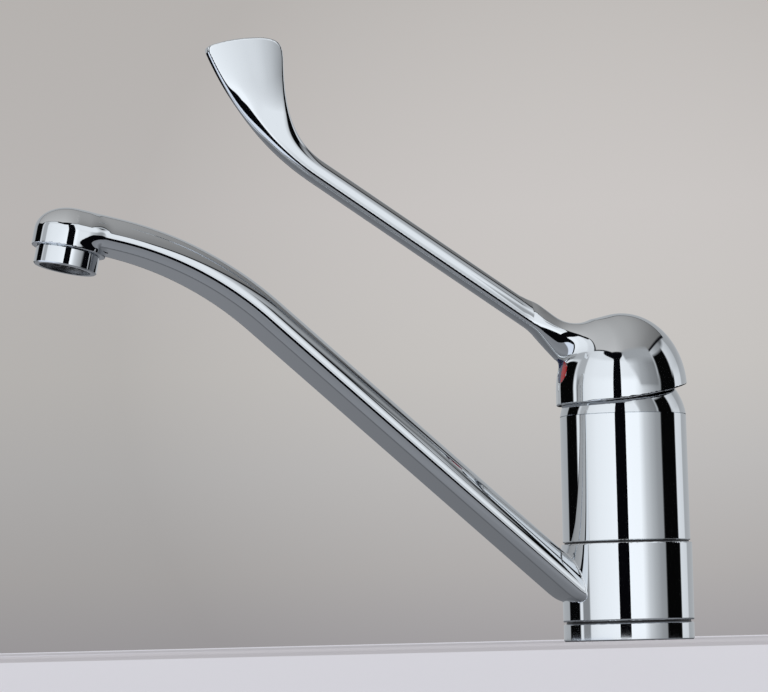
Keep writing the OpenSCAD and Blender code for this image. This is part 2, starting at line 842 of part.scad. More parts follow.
module lever() {
    past = 5;
    front = cap_r + past;
    color(chrome)
        difference() {
            union() {
                intersection() {
                    difference() {
                        rotate_extrude() cap_profile(cap_r, cap_rim_z - 1, cap_top_z);
                        rotate_extrude()
                            cap_profile(cap_r - cap_wall, cap_rim_z - 2, cavity_top_z);
                    }
                    translate([-cap_r, 0, cap_rim_z + rim_rise_r])
                        rotate([90, 0, 0])
                            cylinder(r = rim_rise_r, h = 2*front, center = true, $fn = 180);
                }
                difference() {
                    lever_arm();
                    rotate_extrude()
                        cap_profile(cap_r - cap_wall, cap_rim_z - 2, cavity_top_z);
                }
                translate([0, 0, boss_z]) cylinder(r = boss_r, h = cavity_top_z - boss_z + 1);
                translate([-cap_r + cap_wall/2, 0, index_z])
                    rotate([0, 90, 0]) cylinder(r = bridge_r, h = cap_r - cap_wall/2);
                translate([-cap_r + cap_wall/2, 0, index_z])
                    rotate([0, 90, 0])
                        cylinder(d = index_d + 2*index_wall, h = index_t + index_wall - cap_wall/2);
            }
            translate([-stem_sq/2 - socket_gap, -stem_sq/2 - socket_gap, boss_z - 1])
                cube([stem_sq + 2*socket_gap, stem_sq + 2*socket_gap, stem_top - boss_z + 1 + socket_gap]);
            translate([-front, 0, index_z]) rotate([0, 90, 0]) cylinder(d = screw_d, h = front - 1);
            translate([-front, 0, index_z])
                rotate([0, 90, 0]) cylinder(d = index_d, h = front - cap_r + index_t);
        }
}

module lever_screw() {
    seat = -stem_sq/2;
    color(steel)
        translate([seat - screw_len, 0, index_z])
            rotate([0, 90, 0])
                difference() {
                    cylinder(d = screw_d, h = screw_len);
                    translate([0, 0, -1])
                        cylinder(d = screw_hex_af/cos(30), h = screw_hex_depth + 1, $fn = 6);
                }
}

// One half of the round index, which follows the cap's curve
module index_half(side) {
    intersection() {
        translate([-cap_r - 1, 0, index_z])
            rotate([0, 90, 0]) cylinder(d = index_d - 2*soft_gap, h = index_t + 1);
        rotate_extrude() cap_profile(cap_r + 0.3, cap_rim_z, cap_top_z + 0.3);
        translate([-2*cap_r, side > 0 ? 0 : -2*cap_r, 0]) cube([2*cap_r, 2*cap_r, cap_top_z]);
    }
}

module index_red() {
    color(red) index_half(-1);
}

module index_blue() {
    color(blue) index_half(1);
}

module fixing_stud() {
    color(steel)
        translate([-stud_x, 0, -stud_free]) cylinder(d = stud_d, h = stud_free + inlet_depth - slide_gap);
}

// Horseshoe outline with a gap for the two hoses, open to the rear
module horseshoe(r, hole) {
    gap_start = 4;
    difference() {
        circle(r = r);
        translate([-gap_start, -hose_gap/2]) square([2*r, hose_gap]);
        translate([-stud_x, 0]) circle(d = hole);
    }
}

module clamp_rubber() {
    color(rubber)
        translate([0, 0, -deck_t - rubber_t]) linear_extrude(rubber_t) horseshoe(plate_r - 1, stud_d + 0.6);
}

module clamp_plate() {
    color(steel)
        translate([0, 0, -deck_t - rubber_t - plate_t])
            linear_extrude(plate_t) horseshoe(plate_r, stud_d + 0.6);
}

module fixing_nut() {
    color(brass)
        translate([-stud_x, 0, -deck_t - rubber_t - plate_t - nut_h])
            difference() {
                cylinder(d = nut_af/cos(30), h = nut_h, $fn = 6);
                translate([0, 0, -1]) cylinder(d = stud_d, h = nut_h + 2);
            }
}

base_ring();
base_gasket();
retaining_clip();
body();
glide_ring_lower();
glide_ring_upper();
spout_seal_lower();
spout_seal_upper();
spout();
aerator_washer();
aerator_insert();
aerator_shell();
cartridge_seals();
cartridge_base();
disc_fixed();
disc_moving();
disc_carrier();
cartridge_housing();
rotor();
rotor_seal();
lever_stem();
pivot_pin();
clamp_nut();
cover_ring();
lever();
lever_screw();
index_red();
index_blue();
fixing_stud();
clamp_rubber();
clamp_plate();
fixing_nut();
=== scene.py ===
import math
import bpy
import numpy as np
from mathutils import Matrix, Vector


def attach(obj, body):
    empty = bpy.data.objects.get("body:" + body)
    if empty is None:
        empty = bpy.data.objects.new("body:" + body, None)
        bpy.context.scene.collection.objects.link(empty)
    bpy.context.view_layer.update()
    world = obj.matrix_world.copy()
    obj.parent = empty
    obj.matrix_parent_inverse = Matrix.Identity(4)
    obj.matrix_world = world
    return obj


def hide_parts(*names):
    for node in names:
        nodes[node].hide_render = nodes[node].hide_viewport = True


# Kitchen mixer with an elbow lever. All sizes here are in millimetres and turned to metres
# when a mesh is made. The spout and the lever point along -X, and s is the distance that way.

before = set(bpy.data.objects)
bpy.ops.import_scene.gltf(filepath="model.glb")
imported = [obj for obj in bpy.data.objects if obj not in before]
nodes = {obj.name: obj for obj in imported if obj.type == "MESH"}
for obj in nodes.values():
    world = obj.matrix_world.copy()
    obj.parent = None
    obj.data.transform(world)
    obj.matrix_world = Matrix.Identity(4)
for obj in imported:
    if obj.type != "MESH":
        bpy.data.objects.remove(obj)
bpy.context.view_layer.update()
print("frame loaded:", len(nodes), "parts")


def linear(hexColour, alpha=1.0):
    parts = [int(hexColour[i:i + 2], 16)/255 for i in (1, 3, 5)]
    return [p/12.92 if p <= 0.04045 else ((p + 0.055)/1.055)**2.4 for p in parts] + [alpha]


def addNode(tree, kind, links=None, **settings):
    # in_3 sets socket 3; a link comes from a socket, or from a node's first output
    node = tree.nodes.new(kind)
    for key, value in settings.items():
        if key.startswith("in_"):
            node.inputs[int(key[3:])].default_value = value
        else:
            setattr(node, key, value)
    for socket, source in (links or {}).items():
        tree.links.new(getattr(source, "outputs", [source])[0], node.inputs[socket])
    return node


def newMaterial(name):
    material = bpy.data.materials.new(name)
    material.use_nodes = True
    tree = material.node_tree
    return material, tree, tree.nodes["Principled BSDF"]


def grainAt(tree, size, detail=2.0, stretch=(1, 1, 1)):
    # Noise whose grain is "size" millimetres wide, fixed to the piece
    where = addNode(tree, "ShaderNodeTexCoord")
    scaled = addNode(tree, "ShaderNodeMapping", {0: where.outputs["Object"]},
                     in_3=[1000/size*k for k in stretch])
    return addNode(tree, "ShaderNodeTexNoise", {0: scaled}, in_2=1.0, in_3=detail)


def mottle(tree, shader, pattern, dark, light, roughness, relief, depth):
    # One pattern sets the colour and the roughness, and one, "depth" millimetres deep, the relief
    colour = addNode(tree, "ShaderNodeMix", {0: pattern}, data_type="RGBA",
                     in_6=linear(dark), in_7=linear(light))
    gloss = addNode(tree, "ShaderNodeMapRange", {0: pattern}, in_3=roughness[0], in_4=roughness[1])
    bump = addNode(tree, "ShaderNodeBump", {"Height": relief}, in_0=1.0, in_1=depth*0.001)
    tree.links.new(colour.outputs[2], shader.inputs["Base Color"])
    tree.links.new(gloss.outputs[0], shader.inputs["Roughness"])
    tree.links.new(bump.outputs[0], shader.inputs["Normal"])


def platedChrome():
    # Polished brass or zinc under bright chrome: a near mirror, faintly blue, with the soft
    # unevenness that buffing leaves and a trace of haze
    material, tree, shader = newMaterial("platedChrome")
    shader.inputs["Base Color"].default_value = linear("#e2e5e8")
    shader.inputs["Metallic"].default_value = 1.0
    haze = addNode(tree, "ShaderNodeMapRange", {0: grainAt(tree, 9, 3)}, in_3=0.012, in_4=0.045)
    tree.links.new(haze.outputs[0], shader.inputs["Roughness"])
    return material


def machinedBrass():
    # Turned brass, unplated: yellow, with fine tool rings
    material, tree, shader = newMaterial("machinedBrass")
    shader.inputs["Metallic"].default_value = 1.0
    rings = grainAt(tree, 0.6, 1, (0.15, 0.15, 1))
    mottle(tree, shader, rings, "#b9954a", "#d9bb70", (0.22, 0.38), rings, 0.03)
    return material


def stainlessSteel():
    # Stamped or rolled stainless steel: grey, with a fine draw grain and a dull sheen
    material, tree, shader = newMaterial("stainlessSteel")
    shader.inputs["Metallic"].default_value = 1.0
    grain = grainAt(tree, 0.5, 2, (1, 0.08, 1))
    mottle(tree, shader, grain, "#9a9b9d", "#bcbdbf", (0.25, 0.42), grain, 0.02)
    return material


def mouldedRubber():
    # Moulded black EPDM: dark, matt, with a trace of grey bloom
    material, tree, shader = newMaterial("mouldedRubber")
    mottle(tree, shader, grainAt(tree, 2.5, 4), "#1b1b1c", "#303031", (0.6, 0.8), grainAt(tree, 0.3), 0.03)
    return material


def mouldedPlastic(name, dark, light, roughness):
    # Injection-moulded acetal or acrylic: even colour, a waxy or glossy skin with faint flow marks
    material, tree, shader = newMaterial(name)
    flow = grainAt(tree, 4, 3)
    mottle(tree, shader, flow, dark, light, (roughness, roughness + 0.12), flow, 0.02)
    return material


chrome = platedChrome()
brass = machinedBrass()
steel = stainlessSteel()
rubber = mouldedRubber()
darkAcetal = mouldedPlastic("darkAcetal", "#232427", "#2f3033", 0.35)
whiteAcetal = mouldedPlastic("whiteAcetal", "#dcd9cf", "#e8e5dc", 0.35)
alumina = mouldedPlastic("lappedAlumina", "#ecebe6", "#f6f5f1", 0.12)
redAcrylic = mouldedPlastic("redAcrylic", "#a8141c", "#b81a20", 0.08)
blueAcrylic = mouldedPlastic("blueAcrylic", "#0f1c46", "#16285c", 0.1)

# What each part is made of
finishes = {
    "base_ring": chrome, "body": chrome, "spout": chrome, "aerator_shell": chrome,
    "cover_ring": chrome, "lever": chrome,
    "clamp_nut": brass, "fixing_nut": brass,
    "retaining_clip": steel, "lever_stem": steel, "pivot_pin": steel, "lever_screw": steel,
    "fixing_stud": steel, "clamp_plate": steel,
    "base_gasket": rubber, "spout_seal_lower": rubber, "spout_seal_upper": rubber,
    "aerator_washer": rubber, "cartridge_seals": rubber, "rotor_seal": rubber, "clamp_rubber": rubber,
    "glide_ring_lower": darkAcetal, "glide_ring_upper": darkAcetal, "aerator_insert": darkAcetal,
    "rotor": darkAcetal,
    "cartridge_base": whiteAcetal, "disc_carrier": whiteAcetal, "cartridge_housing": whiteAcetal,
    "disc_fixed": alumina, "disc_moving": alumina,
    "index_red": redAcrylic, "index_blue": blueAcrylic,
}
for name, material in finishes.items():
    nodes[name].data.materials.clear()
    nodes[name].data.materials.append(material)
print("materials made:", len(set(finishes.values())))


# Smooth surfaces from fields: a field is a function of s, y, z that is negative inside

def blendMin(a, b, reach):
    h = np.maximum(reach - np.abs(a - b), 0)/reach
    return np.minimum(a, b) - h*h*h*reach/6


def blendMax(a, b, reach):
    return -blendMin(-a, -b, reach)


def smooth(x):
    x = np.clip(x, 0, 1)
    return x*x*x*(x*(6*x - 15) + 10)


def slopeOf(field, p, step=0.02):
    # The field's gradient, from small steps each way
    out = np.empty_like(p)
    for k in range(3):
        shift = np.zeros(3)
        shift[k] = step
        out[:, k] = (field(*(p + shift).T) - field(*(p - shift).T))/(2*step)
    return out


def addMesh(name, points, faces, normals, material, body, replaced):
    # Points and normals come as s, y, z in millimetres, and s runs against X
    flip = np.array([-1, 1, 1])
    mesh = bpy.data.meshes.new(name)
    mesh.from_pydata((points*flip*0.001).tolist(), [], faces)
    mesh.polygons.foreach_set("use_smooth", [True]*len(mesh.polygons))
    mesh.normals_split_custom_set_from_vertices((normals*flip).tolist())
    mesh.materials.append(material)
    mesh.update()
    piece = bpy.data.objects.new(name, mesh)
    bpy.context.collection.objects.link(piece)
    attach(piece, body)
    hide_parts(*replaced)


def surfaceOf(field, low, high, step):
    # Nets a grid of cells, then settles each point on the field's zero
    axes = [np.arange(a, b + step, step, dtype=np.float32) for a, b in zip(low, high)]
    grid = np.meshgrid(*axes, indexing="ij", sparse=True)
    value = np.ascontiguousarray(np.broadcast_to(field(*grid), [len(a) for a in axes]).astype(np.float32))
    inside = value < 0
    corners = [(i, j, k) for i in (0, 1) for j in (0, 1) for k in (0, 1)]
    size = [n - 1 for n in inside.shape]
    count = np.zeros(size, np.int8)
    for i, j, k in corners:
        count += inside[i:i + size[0], j:j + size[1], k:k + size[2]]
    cells = np.argwhere((count > 0) & (count < 8))
    total = np.zeros((len(cells), 3))
    hits = np.zeros(len(cells))
    for a in corners:
        for axis in range(3):
            if a[axis]:
                continue
            b = np.array(a)
            b[axis] = 1
            va = value[tuple((cells + a).T)].astype(float)
            vb = value[tuple((cells + b).T)].astype(float)
            crossed = (va < 0) != (vb < 0)
            along = np.where(crossed, va/np.where(crossed, va - vb, 1), 0)
            at = np.array(a) + along[:, None]*(b - a)
            total += at*crossed[:, None]
            hits += crossed
    points = np.array(low) + (cells + total/hits[:, None])*step
    number = np.full(size, -1, np.int32)
    number[tuple(cells.T)] = np.arange(len(cells))
    faces = []
    for axis in range(3):
        u, v = (axis + 1) % 3, (axis + 2) % 3
        here = [slice(1, -1)]*3
        here[axis] = slice(0, -1)
        there = list(here)
        there[axis] = slice(1, None)
        first, second = inside[tuple(here)], inside[tuple(there)]
        edges = np.argwhere(first != second)
        outward = first[tuple(edges.T)]
        edges = edges + 1
        edges[:, axis] -= 1
        quad = []
        for du, dv in ((-1, -1), (0, -1), (0, 0), (-1, 0)):
            cell = edges.copy()
            cell[:, u] += du
            cell[:, v] += dv
            quad.append(number[tuple(cell.T)])
        quad = np.stack(quad, 1)
        # s runs against X, so the mirror turns every face round
        quad[outward] = quad[outward][:, ::-1]
        faces.append(quad)
    faces = np.concatenate(faces)
    for _ in range(4):
        slope = slopeOf(field, points)
        length = np.maximum((slope*slope).sum(1), 1e-3)
        move = -(field(*points.T)/length)[:, None]*slope
        reach = np.linalg.norm(move, axis=1)
        move *= np.minimum(1, 0.5*step/np.maximum(reach, 1e-9))[:, None]
        points = points + move
    slope = slopeOf(field, points)
    return points, faces.tolist(), slope/np.linalg.norm(slope, axis=1)[:, None]


# Spout: collar, arm and head in one hollow casting

spoutShape = {
    "collarRadius": 26.1, "collarLow": 7.8, "collarHigh": 38.7, "stemBore": 17.6, "collarClear": 4.0,
    "chamberRadius": 20.5, "chamberLow": 16.0, "chamberHigh": 30.5,
    "armHalfWidth": 13.4, "armRound": 11.0, "armHeight": 14.0, "armHalfFlat": 11.0, "armSteep": 12.0,
    "rootHeight": 12.1, "slope": 40.9, "run": 188.5, "bendRadius": 144.5, "tilt": 12.5, "endRun": 16.3,
    "armStart": 16.0, "waterway": 4.2, "waterwayStart": 19.6,
    "headHeight": 16.8, "headRadius": 14.5, "headWide": 6.5, "headTaper": 0.1,
    "threadRadius": 11.5, "threadDepth": 7.5, "outletRadius": 8.0, "outletDepth": 10.0,
    # Roundings, in the size of the edge or hollow that they leave
    "armEdge": 1.3, "footEdge": 0.7, "footLevel": 15.6, "footRound": 5.0, "rimEdge": 0.6,
    "collarFillet": 0.6, "boreEdge": 0.3, "headFillet": 0.6,
    # How the head flows into the arm over its rim; a fade has its first height and its length
    "headFlow": 1.5, "flowRise": (6.0, 4.0), "flowFall": (1.0, 5.0),
    "headPull": 4.0, "pullRise": (1.0, 6.0),
    "gridLow": (-27.5, -27.5, 7.0), "gridHigh": (240.5, 27.5, 177.5), "gridStep": 0.6,
}


def spoutFrame(c):
    # The bend's centre and end, and the head's rim centre, as [s, z]
    a, t = math.radians(c["slope"]), math.radians(c["tilt"])
    start = np.array([c["run"]*math.cos(a), c["rootHeight"] + c["run"]*math.sin(a)])
    centre = start + c["bendRadius"]*np.array([math.sin(a), -math.cos(a)])
    end = centre + c["bendRadius"]*np.array([-math.sin(t), math.cos(t)])
    crown = end + c["endRun"]*np.array([math.cos(t), math.sin(t)])
    rim = crown - c["headHeight"]*np.array([-math.sin(t), math.cos(t)])
    return centre, end, rim


def spoutField(c):
    a, t = math.radians(c["slope"]), math.radians(c["tilt"])
    centre, end, rim = spoutFrame(c)

    def field(s, y, z):
        across = np.abs(y)
        # Distance along the arm and height over its ridge
        along = s*math.cos(a) + (z - c["rootHeight"])*math.sin(a)
        lineHeight = -s*math.sin(a) + (z - c["rootHeight"])*math.cos(a)
        pastEnd = (s - end[0])*math.cos(t) + (z - end[1])*math.sin(t)
        endHeight = -(s - end[0])*math.sin(t) + (z - end[1])*math.cos(t)
        bendHeight = np.hypot(s - centre[0], z - centre[1]) - c["bendRadius"]
        height = np.where(along < c["run"], lineHeight, np.where(pastEnd > 0, endHeight, bendHeight))
        # The arm has a rounded ridge, leaning flanks and a flat underside
        low = c["armHeight"] - c["armRound"]
        inset = c["armHalfWidth"] - c["armHalfFlat"]
        ridge = np.maximum(height + c["armRound"], 0)/c["armRound"]
        rounded = np.sqrt((across/c["armHalfWidth"])**2 + ridge**2) - 1
        facet = (low*(across - c["armHalfWidth"]) - inset*(height + c["armRound"]))/math.hypot(low, inset)
        arm = blendMax(rounded*c["armSteep"], facet, c["armEdge"])
        arm = blendMax(arm, -height - c["armHeight"], c["footEdge"])
        # Its foot is cut level and rounded where it meets the collar
        arm = blendMax(arm, c["footLevel"] - z, c["footRound"])
        arm = np.maximum(arm, c["armStart"] - along)
        arm = np.maximum(arm, pastEnd - c["endRun"])
        # Head, on its own tilted axis
        up = -(s - rim[0])*math.sin(t) + (z - rim[1])*math.cos(t)
        ahead = (s - rim[0])*math.cos(t) + (z - rim[1])*math.sin(t)
        fromAxis = np.hypot(ahead, y)
        dome = c["headHeight"] - c["headWide"]
        # Over its rim the head grows towards the arm
        grown = c["headPull"]*smooth((up - c["pullRise"][0])/c["pullRise"][1])
        pulled = np.where(ahead < 0, np.minimum(ahead + grown, 0), ahead)
        head = c["headRadius"]*(np.sqrt((pulled**2 + y**2)/c["headRadius"]**2
                                        + (np.maximum(up - c["headWide"], 0)/dome)**2) - 1)
        head = head + c["headTaper"]*(np.maximum(c["headWide"] - up, 0)/c["headWide"])**2
        head = blendMax(head, -up, c["rimEdge"])
        flow = smooth((up - c["flowRise"][0])/c["flowRise"][1])
        flow = flow*smooth((c["headHeight"] - c["flowFall"][0] - up)/c["flowFall"][1])
        outer = blendMin(arm, head, c["headFillet"] + c["headFlow"]*flow)
        # Collar
        radius = np.hypot(s, y)
        middle = (c["collarHigh"] + c["collarLow"])/2
        half = (c["collarHigh"] - c["collarLow"])/2
        collar = blendMax(radius - c["collarRadius"], np.abs(z - middle) - half, c["rimEdge"])
        outer = blendMin(outer, collar, c["collarFillet"])
        # Nothing reaches under the collar's lower edge
        besideCollar = radius < c["collarRadius"] + c["collarClear"]
        outer = np.where(besideCollar, np.maximum(outer, c["collarLow"] - z), outer)
        # Hollows: the bore and water chamber, the way through the arm, and the aerator's seat
        bore = radius - c["stemBore"]
        chamber = np.maximum(radius - c["chamberRadius"],
                             np.maximum(c["chamberLow"] - z, z - c["chamberHigh"]))
        way = np.hypot(height + c["armHeight"]/2, y) - c["waterway"]
        way = np.maximum(way, np.maximum(c["waterwayStart"] - along, pastEnd - c["endRun"]))
        thread = np.maximum(fromAxis - c["threadRadius"], up - c["threadDepth"])
        outlet = np.maximum(fromAxis - c["outletRadius"], up - c["outletDepth"])
        seat = np.maximum(np.minimum(thread, outlet), -1 - up)
        hollow = np.minimum(np.minimum(bore, chamber), np.minimum(way, seat))
        return blendMax(outer, -hollow, c["boreEdge"])

    return field


points, faces, normals = surfaceOf(spoutField(spoutShape), spoutShape["gridLow"], spoutShape["gridHigh"],
                                   spoutShape["gridStep"])
addMesh("spoutSkin", points, faces, normals, chrome, "spout", ["spout"])
print("spout:", len(faces), "faces")


# Lever: domed cap, neck, rod and upright blade in one casting

leverShape = {
    # Cap, its hollow, and the bridge that the screw goes through
    "capRadius": 26.0, "capTop": 131.0, "domeStart": 100.0, "rimFront": 94.3, "rimRise": 165.0,
    "rimEdge": 0.7, "wall": 1.6, "cavityTop": 126.5, "cavityEdge": 0.4, "bossRadius": 7.5,
    "bossLow": 99.0, "socket": 4.05, "socketTop": 118.05, "bridgeRadius": 4.6, "bridgeEnd": 25.2,
    "seatWall": 1.2, "seatStart": 22.4, "screwRadius": 3.0, "screwStart": 1.0, "drilledTo": 45.0,
    "drilledEdge": 0.3, "indexHeight": 108.0, "indexRadius": 5.0, "indexFloor": 23.6,
    # Rod; widest is the share of its height where it is widest
    "rodSlope": 33.3, "rodHeight": 9.6, "rodHalfWidth": 4.5, "rodStart": [40.0, 125.0], "widest": 0.27,
    # Blade: where it starts, its lean and width, its crowned faces, its end and its edges
    "bladeStart": 127.7, "bladeRun": 40.0, "bladeRise": 47.8, "bladeWidth": 29.7, "bladeHalf": 1.4,
    "bladeTurn": 1.0, "bladeEase": 1.5, "crown": 1.1, "frontCrown": (0.3, 0.9),
    "frontCrownFall": (222.0, 13.0), "tipTop": 239.25, "tipMiddle": 147.5, "tipReach": 24.0,
    "tipRound": 59.0, "tipOuter": 4.4, "tipInner": 10.0, "edgeRound": (0.9, 3.2), "edgeGrowth": 0.05,
    # Pulls that bend the two edges, as [s, z] or as a length along the rod
    "lowRoot": [[17, 17.6], [13, 11.2]], "lowRootPull": 8.0, "topRoot": [[2, 0.6], [12, 1.5]],
    "topRootPull": 17.0, "topRootDrop": 1.5, "lowBend": 20.3, "lowBladePull": [10.4, 22.5],
    "topBend": 12.0, "topBladePull": [0, 23], "lowTip": [[1.5, 3.3], [3.0, 6.6], [4.5, 10]],
    "topTip": [[0, 3.3], [0, 6.6], [0, 10]],
    # Neck: a drop-shaped nose in level cuts, under a saddle-shaped roof that falls to both sides
    "noseLow": 111.0, "noseSlope": 0.93, "noseRadius": 4.5, "noseInset": 0.5, "noseEase": 6.0,
    "neckInset": 0.3, "cutLeast": 0.04, "saddle": [19.5, 127.0], "saddleReach": (-7.0, 22.0),
    "saddleRound": 20.0, "neckEnd": 38.0, "neckSpread": 0.6, "neckDrop": 8.0, "neckSteep": 0.85,
    "neckEdge": 5.0,
    # Blends, and where the forms fade into each other: first s and length
    "neckBlend": 4.0, "rodBlend": 7.0, "armFade": (14.0, 20.0), "domeFade": (-4.0, 16.0),
    "neckFade": (33.0, 14.0),
    "gridLow": (-27.0, -27.0, 93.5), "gridHigh": (169.0, 27.0, 240.0), "gridStep": 0.55,
}


def leverEdges(c):
    # Two chains of curves in the lever's plane, each four controls a run, as [s, z]
    a = math.radians(c["rodSlope"])
    along, up = np.array([math.cos(a), math.sin(a)]), np.array([-math.sin(a), math.cos(a)])
    lowA = np.array(c["rodStart"])
    lowB = lowA + along*(c["bladeStart"] - lowA[0])/math.cos(a)
    topA, topB = lowA + up*c["rodHeight"], lowB + up*c["rodHeight"]
    tipLow = lowB + [c["bladeRun"], c["bladeRise"]]
    tipTop = tipLow - [c["bladeWidth"], 0]
    topRoot = [np.array([s, c["capTop"] - drop]) for s, drop in c["topRoot"]]
    low = [
        [*(lowA - back for back in c["lowRoot"]), lowA - along*c["lowRootPull"], lowA],
        [lowA, lowA + (lowB - lowA)/3, lowA + (lowB - lowA)*2/3, lowB],
        [lowB, lowB + along*c["lowBend"], tipLow - c["lowBladePull"], tipLow],
        [tipLow, *(tipLow + on for on in c["lowTip"])],
    ]
    top = [
        [*topRoot, topA - along*c["topRootPull"] - [0, c["topRootDrop"]], topA],
        [topA, topA + (topB - topA)/3, topA + (topB - topA)*2/3, topB],
        [topB, topB + along*c["topBend"], tipTop - c["topBladePull"], tipTop],
        [tipTop, *(tipTop + on for on in c["topTip"])],
    ]
    return np.array(low), np.array(top)


def chainPoint(chain, t):
    run = np.clip(np.floor(t).astype(int), 0, len(chain) - 1)
    u = (t - run)[..., None]
    k = chain[run]
    return (k[..., 0, :]*(1 - u)**3 + 3*k[..., 1, :]*u*(1 - u)**2
            + 3*k[..., 2, :]*u*u*(1 - u) + k[..., 3, :]*u**3)


def leverField(c):
    lowChain, topChain = leverEdges(c)
    last = len(lowChain)
    ticks = np.linspace(0, last, 60*last + 1)
    lows, tops = chainPoint(lowChain, ticks), chainPoint(topChain, ticks)

    def placeOf(s, z):
        # Which straight line from edge to edge runs through each point, and how far up it
        s, z = np.broadcast_arrays(np.asarray(s, float), np.asarray(z, float))
        p = np.stack([s.ravel(), z.ravel()], 1)

        def aside(t):
            # Signed distance from the line at t
            low, top = chainPoint(lowChain, t), chainPoint(topChain, t)
            rule = (top - low)/np.linalg.norm(top - low, axis=1)[:, None]
            off = p - low
            return off[:, 0]*rule[:, 1] - off[:, 1]*rule[:, 0]

        # The nearest of a row of lines first, then a few Newton steps from it
        t, gap = np.zeros(len(p)), np.full(len(p), np.inf)
        for k in range(0, len(ticks), 2):
            rule = tops[k] - lows[k]
            off = p - lows[k]
            share = np.clip(off@rule/(rule@rule), -0.6, 1.6)
            far = ((off - share[:, None]*rule)**2).sum(1)
            nearer = far < gap
            t[nearer], gap[nearer] = ticks[k], far[nearer]
        step = 1e-3
        for _ in range(6):
            rate = (aside(t + step) - aside(t - step))/(2*step)
            rate = np.where(np.abs(rate) < 1e-3, 1e-3, rate)
            t = np.clip(t - np.clip(aside(t)/rate, -0.1, 0.1), 0, last)
        low, top = chainPoint(lowChain, t), chainPoint(topChain, t)
        length = np.linalg.norm(top - low, axis=1)
        up = ((p - low)*(top - low)).sum(1)/length
        return [v.reshape(s.shape) for v in (t, up, length, aside(t))]

    def armField(s, y, z):
        t, up, length, side = placeOf(s, z)
        # The rod is an oval with its widest line low down
        half = c["rodHalfWidth"]
        widest = length*c["widest"]
        down = np.maximum(1 - up/widest, 0)
        over = np.maximum(1 - (length - up)/(length - widest), 0)
        rod = half*(np.sqrt(down**2 + over**2 + (y/half)**2) - 1)
        # The blade is a plate with a slight crown; its end is a shallow arc with two round corners
        away = np.clip(s - c["tipMiddle"], -c["tipReach"], c["tipReach"])
        end = z - c["tipTop"] + away**2/(2*c["tipRound"])
        plate = blendMax(blendMax(-up, end, c["tipOuter"]), up - length, c["tipInner"])
        part = np.clip(2*up/length - 1, -1, 1)
        high, low = c["frontCrown"]
        front = high + (low - high)*smooth((c["frontCrownFall"][0] - z)/c["frontCrownFall"][1])
        crown = np.where(part > 0, c["crown"]*(1 - part**4), c["crown"] - front*part**2)
        edge = np.clip(c["edgeRound"][0] - c["edgeGrowth"]*end, *c["edgeRound"])
        plate = blendMax(plate, np.abs(y) - c["bladeHalf"] - crown, edge)
        arm = rod + (plate - rod)*smooth((t - 2)/c["bladeTurn"])**c["bladeEase"]
        # The arm grows out of the dome's front and leaves its top alone
        arm = arm + c["rodBlend"]*(1 - smooth((s - c["armFade"][0])/c["armFade"][1]))
        return np.where(np.abs(side) > 0.05, np.maximum(arm, np.abs(side)), arm)

    def neckField(s, y, radius, dome, z):
        # Level cuts are drawn like a drop, from the dome's circle to a narrow nose
        cut = np.sqrt(np.maximum(1 - np.minimum(dome, 1)**2, c["cutLeast"]))
        cutRadius = cut*c["capRadius"] - c["neckInset"]
        above = z - c["noseLow"]
        above = (above + np.sqrt(above*above + c["noseEase"]))/2
        out = c["capRadius"] - c["noseInset"] + c["noseSlope"]*above - c["noseRadius"]
        lean = np.clip((cutRadius - c["noseRadius"])/np.maximum(out, 1), 0, 0.97)
        flank = np.sqrt(1 - lean*lean)
        across = np.abs(y)
        place = flank*s - lean*across
        neck = np.where(place < 0, radius - cutRadius, np.where(
            place > flank*out, np.hypot(s - out, y) - c["noseRadius"], flank*across + lean*s - cutRadius))
        wide = c["rodHalfWidth"] + c["neckSpread"]*np.maximum(c["neckEnd"] - s, 0)
        fromSaddle = np.clip(s - c["saddle"][0], *c["saddleReach"])
        roof = z - c["saddle"][1] - fromSaddle**2/(2*c["saddleRound"]) + c["neckDrop"]*(y/wide)**2
        neck = blendMax(neck, roof*c["neckSteep"], c["neckEdge"])
        neck = neck + c["neckBlend"]*(1 - smooth((s - c["domeFade"][0])/c["domeFade"][1]))
        return neck + c["rodBlend"]*smooth((s - c["neckFade"][0])/c["neckFade"][1])

    def field(s, y, z):
        radius = np.hypot(s, y)
        dome = np.maximum(z - c["domeStart"], 0)/(c["capTop"] - c["domeStart"])
        cap = c["capRadius"]*(np.sqrt((radius/c["capRadius"])**2 + dome**2) - 1)
        neck = neckField(s, y, radius, dome, z)
        outside = blendMin(blendMin(cap, neck, c["neckBlend"]), armField(s, y, z), c["rodBlend"])
        # The rim is cut along a wide arc that rises to the rear
        rim = np.hypot(c["capRadius"] - s, z - c["rimFront"] - c["rimRise"]) - c["rimRise"]
        body = blendMax(outside, rim, c["rimEdge"])
        # Hollow with its boss and the bridge that carries the screw
        wall = c["capRadius"] - c["wall"]
        roof = np.maximum(z - c["domeStart"], 0)/(c["cavityTop"] - c["domeStart"])
        hollow = wall*(np.sqrt((radius/wall)**2 + roof**2) - 1)
        boss = np.maximum(radius - c["bossRadius"], c["bossLow"] - z)
        fromBridge = np.hypot(y, z - c["indexHeight"])
        bridge = np.maximum(fromBridge - c["bridgeRadius"], np.maximum(-s, s - c["bridgeEnd"]))
        seat = np.maximum(fromBridge - c["indexRadius"] - c["seatWall"],
                          np.maximum(c["seatStart"] - s, s - c["bridgeEnd"]))
        kept = np.minimum(np.minimum(boss, bridge), seat)
        body = blendMax(body, -np.maximum(hollow, -kept), c["cavityEdge"])
        socket = np.maximum(np.maximum(np.abs(s), np.abs(y)) - c["socket"], z - c["socketTop"])
        screw = np.maximum(fromBridge - c["screwRadius"],
                           np.maximum(c["screwStart"] - s, s - c["drilledTo"]))
        pocket = np.maximum(fromBridge - c["indexRadius"],
                            np.maximum(c["indexFloor"] - s, s - c["drilledTo"]))
        return blendMax(body, -np.minimum(np.minimum(socket, screw), pocket), c["drilledEdge"])

